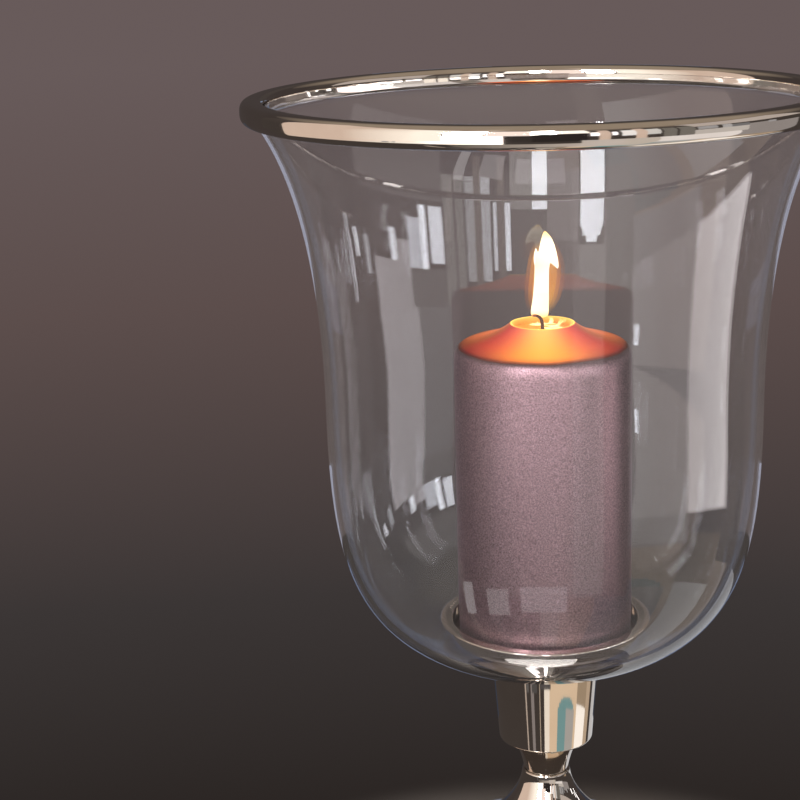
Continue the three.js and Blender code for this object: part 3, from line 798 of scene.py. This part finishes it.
link(vector_step(nodes, link, "DISTANCE", place, (0, -FLOOR_FORWARD, 0)), fade.inputs["Value"])
link(fade.outputs["Result"], shader.inputs["Alpha"])
floor.data.materials.append(floor_finish)
floor.visible_glossy = False

# Each card lies between two azimuths (0 is the viewer's side, plus is to the right) and two elevations,
# all in degrees, and has its light at one or both ends. A fourth value of that light is the share that
# nickel and lacquer see of it. Strips on the ground, and patches and glints just above it, have radii in
# metres in place of elevations, and strips for the stem have the angles at which it looks down on them.
ROOM_RADIUS, ROOM_CENTRE = 2.2, 0.27
CLOSE_RADIUS, CLOSE_CENTRE = 0.3, 0.3
GROUND_Z, PATCH_Z = -0.006, -0.005
STEM_Z, PIT_Z = 0.093, -0.3
INSIDE_SHARE, CARD_STEP = 0.12, 8
GLARE, BRIGHT, SIDE_PALE = (50, 50, 51.5), (8, 8, 8.4, 0.3), (2.7, 2.5, 2.5, 0.12)
PALE, WHITE, DAYLIT = (1.35, 1.28, 1.18), (2.4, 2.3, 2.2), (0.7, 0.6, 0.57, 3.4)
BEIGE, CREAM, TAN = (0.76, 0.6, 0.51), (1.0, 0.92, 0.82), (0.8, 0.62, 0.45)
TEAL, BLUE_GREY, EDGE_BLUE = (0.2, 0.37, 0.39), (0.45, 0.44, 0.43), (0.22, 0.27, 0.38)
BEHIND, SHADED = (0.13, 0.105, 0.1, 0.45), (0.45, 0.38, 0.36, 0.1)
EDGE_WHITE, LOW_BLUE = (0.36, 0.36, 0.44, 0.16), (0.2, 0.24, 0.36, 0.2)
FAR_BRIGHT, FAR_PALE = (8, 8, 8.4, 0.05), (1.35, 1.28, 1.18, 0.15)
ROOM_CARDS = [
    (-178, -173, -9, 6, EDGE_BLUE), (-173, -125, -9, 30, BEHIND), (126, 173, -9, 30, BEHIND),
    (-108, -75, -9, 50, BEIGE), (-75, -45, -9, 50, BEIGE, PALE), (-45, -35, -9, 50, PALE),
    (-34, -21, 8, 40, GLARE), (-32.7, -22.3, 6, 8, GLARE), (-30.5, -24.5, 4.5, 6, GLARE),
    (-35, -21, -9, 4, (1.35, 1.28, 1.18, 2)), (-21, -13, -9, 5, DAYLIT), (-13, -3, -9, 5, SHADED),
    (-20, -3, 5, 42, (1.2, 1.05, 1.0)), (-35, -20, 40, 70, (0.5, 0.42, 0.34)),
    (-3, 5, 13, 40, GLARE), (5, 17, 13, 40, (1.6, 1.5, 1.4)), (-3, 16, -9, 13, (0.3, 0.25, 0.24, 0.1)),
    (17, 20, -1, 15, BRIGHT), (20, 24, -9, 30, BEIGE), (24.5, 26.5, -1, 15, (6, 6, 6.3, 0.3)),
    (28, 33, -3, 22, (3.5, 3.5, 3.6, 0.3)), (33, 37, -9, 30, BEIGE), (37, 42, -3, 22, (2.5, 2.5, 2.5, 0.3)),
    (43, 48, -9, 22, FAR_PALE), (49, 55, -9, 22, FAR_PALE), (55, 78, -9, -1, (0.6, 0.57, 0.55)),
    (56, 64, 0, 12.5, FAR_BRIGHT), (66, 70, -1, 12.5, (12, 12, 12.5, 0.04)),
    (70, 78, -1, 9, (5, 5, 5.3, 0.04)), (55, 108, 14, 40, (0.55, 0.49, 0.46)),
    (78, 87, -9, 4, SIDE_PALE), (87, 91, 0, 6, FAR_BRIGHT),
    (87, 104, -9, 0, SIDE_PALE), (108, 111, -3, 3, (3, 3, 3.1)), (117, 119, -1, 3.5, BRIGHT),
    (124, 125.5, -9, 5, (4, 4, 4.2)), (173, 178, -9, 6, EDGE_BLUE),
]
GROUND_STRIPS = [
    (-172, -150, 0.2, 0.45, LOW_BLUE), (-172, -150, 0.5, 0.74, EDGE_WHITE), (-172, -150, 0.74, 1.4, BEHIND),
    (-172, -150, 1.4, 2.2, EDGE_WHITE), (-150, -120, 0.5, 2.2, BEHIND), (120, 150, 0.5, 2.2, BEHIND),
    (150, 172, 1.4, 2.2, EDGE_WHITE), (150, 172, 0.74, 1.4, BEHIND), (150, 172, 0.5, 0.74, EDGE_WHITE),
    (150, 172, 0.2, 0.45, LOW_BLUE), (173, 187, 0.25, 2.2, EDGE_BLUE),
    (-108, -75, 0.95, 2.2, BEIGE), (-75, -45, 0.95, 2.2, BEIGE, PALE), (-45, -35, 0.95, 2.2, PALE, WHITE),
    (-35, -13, 0.95, 2.2, WHITE), (-33, 14, 0.3, 0.95, (0.16, 0.14, 0.12), (0.6, 0.54, 0.5)),
    (14, 29, 0.3, 2.2, (0.85, 0.78, 0.74, 0.75)), (29, 42, 0.3, 2.2, (0.25, 0.23, 0.21, 2.5)),
    (42, 75, 0.48, 0.6, (0.6, 0.59, 0.6)), (42, 75, 0.6, 2.2, (0.9, 0.86, 0.86)),
    (75, 104, 0.6, 2.2, SIDE_PALE),
]
LOW_GLINTS = [(-58, -55, 1.1, 1.5, FAR_BRIGHT), (-54, -52.5, 1.15, 1.5, FAR_BRIGHT)]
LOW_PATCHES = [
    (-41, -36, 0.24, 0.35, (2.8, 2.7, 2.7, 0.05)), (-29, -18, 0.24, 0.33, (2.0, 1.9, 1.9, 0.05)),
    (-12, 11, 0.25, 0.34, (2.0, 1.85, 1.9, 0.05)),
]
STEM_STRIPS = [
    (-46.5, -43.5, 60, 23, (0.55, 0.46, 0.4)), (-33, -26, 60, 23, (0.28, 0.25, 0.25)),
    (-13.5, -12, 60, 23, (0.6, 0.5, 0.4)), (-3, 9, 60, 19, CREAM), (9, 28, 60, 19, TAN),
    (28, 48, 60, 29, TEAL), (48, 70, 60, 29, BLUE_GREY), (31, 67, 29, 28, TEAL), (35, 63, 28, 27.3, TEAL),
    (40, 58, 27.3, 26.9, TEAL), (28, 31, 29, 28, TAN), (67, 70, 29, 28, TAN), (28, 35, 28, 27.3, TAN),
    (63, 70, 28, 27.3, TAN), (28, 40, 27.3, 26.9, TAN), (58, 70, 27.3, 26.9, TAN),
    (70, 76, 60, 26.9, TAN), (28, 76, 26.9, 19, TAN),
    (76, 106, 60, 27.9, (1.2, 1.15, 1.1)), (76, 106, 27.9, 19, (0.4, 0.31, 0.22)),
    (106, 121, 60, 23, (0.55, 0.43, 0.32)), (132, 178, 60, 23, (0.6, 0.6, 0.62)),
]
CANDLE_CARDS = [(-58, 46, -14, 18, (9, 9, 9.2)), (-26, -6, 26, 46, (28, 28, 29))]


def on_drum(elevation):
    return ROOM_RADIUS, ROOM_CENTRE + ROOM_RADIUS * tan(radians(elevation))


def close_by(elevation):
    return CLOSE_RADIUS, CLOSE_CENTRE + CLOSE_RADIUS * tan(radians(elevation))


def on_ground(radius):
    return radius, GROUND_Z


def above_ground(radius):
    return radius, PATCH_Z


def below_stem(drop):
    return (STEM_Z - PIT_Z) / tan(radians(drop)), PIT_Z


def hang_cards(name, groups, seen_by):
    """Lit cards in one piece, which show only where they are mirrored: in all of the lantern, in what
    stands outside the glass, or in the soft gloss of what stands inside it. Other rays look past them."""
    corners, faces, lights = [], [], []
    for cards, edge_at in groups:
        for az_from, az_to, edge_from, edge_to, *shines in cards:
            ends = [Vector((*shine, 1)[:4]) for shine in (shines[0], shines[-1])]
            parts = max(1, round((az_to - az_from) / CARD_STEP))
            for i in range(parts + 1):
                a = radians(az_from + (az_to - az_from) * i / parts)
                for r, z in (edge_at(edge_from), edge_at(edge_to)):
                    corners.append((r * sin(a), -r * cos(a), z))
                    lights.append(ends[0].lerp(ends[1], i / parts))
            for k in range(len(corners) - 2 * parts - 2, len(corners) - 2, 2):
                faces.append((k, k + 1, k + 3, k + 2))
    room = skinned(name, corners, faces)
    tints = room.data.color_attributes.new("light", "FLOAT_COLOR", "POINT")
    for corner, shine in zip(tints.data, lights):
        corner.color = shine
    finish, nodes, link, shader = new_finish(name.replace("_", " "))
    nodes.remove(shader)
    lit = nodes.new("ShaderNodeAttribute")
    lit.attribute_name = "light"
    path = nodes.new("ShaderNodeLightPath")
    unscattered = sums(nodes, link, "SUBTRACT", 1.0,
                       sums(nodes, link, "MINIMUM", path.outputs["Diffuse Depth"], 1.0))
    inside = sums(nodes, link, "MINIMUM", path.outputs["Transmission Depth"], 1.0)
    looked_past, rough = straight_view(nodes, link), lit.outputs["Alpha"]
    if seen_by == "all":
        rough = sums(nodes, link, "MULTIPLY", rough, share_of(nodes, link, inside, 0, 1, 1, INSIDE_SHARE))
    elif seen_by == "outside":
        looked_past = sums(nodes, link, "MAXIMUM", looked_past, inside)
    else:
        outside = sums(nodes, link, "SUBTRACT", 1.0, inside)
        other = sums(nodes, link, "MAXIMUM", outside, path.outputs["Is Singular Ray"])
        looked_past = sums(nodes, link, "MAXIMUM", looked_past, other)
    sharp = nodes.new("ShaderNodeMix")
    link(path.outputs["Is Singular Ray"], sharp.inputs["Factor"])
    link(rough, sharp.inputs["A"])
    sharp.inputs["B"].default_value = 1
    shining = nodes.new("ShaderNodeEmission")
    link(lit.outputs["Color"], shining.inputs["Color"])
    link(sums(nodes, link, "MULTIPLY", unscattered, sharp.outputs["Result"]), shining.inputs["Strength"])
    either_of(nodes, link, looked_past, shining.outputs["Emission"],
              nodes.new("ShaderNodeBsdfTransparent").outputs["BSDF"])
    room.data.materials.append(finish)
    room.visible_camera = room.visible_diffuse = room.visible_shadow = False


hang_cards("Room_cards", [
    (ROOM_CARDS, on_drum), (GROUND_STRIPS, on_ground), (LOW_GLINTS, above_ground),
], "all")
hang_cards("Front_cards", [(LOW_PATCHES, above_ground), (STEM_STRIPS, below_stem)], "outside")
hang_cards("Candle_cards", [(CANDLE_CARDS, close_by)], "inside")

LAMP_AIM = Vector((0, 0, 0.2))


def softbox(name, azimuth, elevation, distance, size, level):
    """A soft square lamp that faces the middle of the lantern and isn't mirrored in it."""
    data = bpy.data.lights.new(name, "AREA")
    data.shape = "RECTANGLE"
    data.size = data.size_y = size
    data.energy = level * pi * size * size
    lamp = bpy.data.objects.new(name, data)
    a, e = radians(azimuth), radians(elevation)
    towards = Vector((sin(a) * cos(e), -cos(a) * cos(e), sin(e)))
    lamp.location = LAMP_AIM + distance * towards
    lamp.rotation_euler = (-towards).to_track_quat("-Z", "Y").to_euler()
    lamp.visible_camera = lamp.visible_glossy = lamp.visible_transmission = False
    bpy.context.scene.collection.objects.link(lamp)


softbox("Key softbox", azimuth=-10, elevation=42, distance=0.6, size=0.25, level=7)
softbox("Fill softbox", azimuth=25, elevation=12, distance=1.8, size=1.0, level=0.3)
softbox("Overhead softbox", azimuth=0, elevation=85, distance=2.0, size=1.8, level=0.7)


# Camera: the photograph's view, a little above the rim, turned so that the lantern stands right of
# the middle and its rim and foot run out of the picture.
CAMERA_PLACE = Vector((0, -0.83996, 0.46261))
CAMERA_YAW, CAMERA_PITCH, CAMERA_ROLL = -0.077, 0.2576, -0.0278
FOCAL_PIXELS, FRAME_PIXELS, SENSOR_WIDTH = 1918.3, 800, 36
look = Vector((sin(CAMERA_YAW) * cos(CAMERA_PITCH), cos(CAMERA_YAW) * cos(CAMERA_PITCH), -sin(CAMERA_PITCH)))
right = Vector((cos(CAMERA_YAW), -sin(CAMERA_YAW), 0))
up = right.cross(look)
right, up = (cos(CAMERA_ROLL) * right + sin(CAMERA_ROLL) * up,
             cos(CAMERA_ROLL) * up - sin(CAMERA_ROLL) * right)
camera_data = bpy.data.cameras.new("Camera")
camera_data.sensor_width = SENSOR_WIDTH
camera_data.lens = SENSOR_WIDTH * FOCAL_PIXELS / FRAME_PIXELS
camera_data.clip_start, camera_data.clip_end = 0.01, 100
camera = bpy.data.objects.new("Camera", camera_data)
camera.matrix_world = Matrix.Translation(CAMERA_PLACE) @ Matrix((right, up, -look)).transposed().to_4x4()
bpy.context.scene.collection.objects.link(camera)
bpy.context.scene.camera = camera
bpy.context.scene.view_settings.view_transform = "Standard"
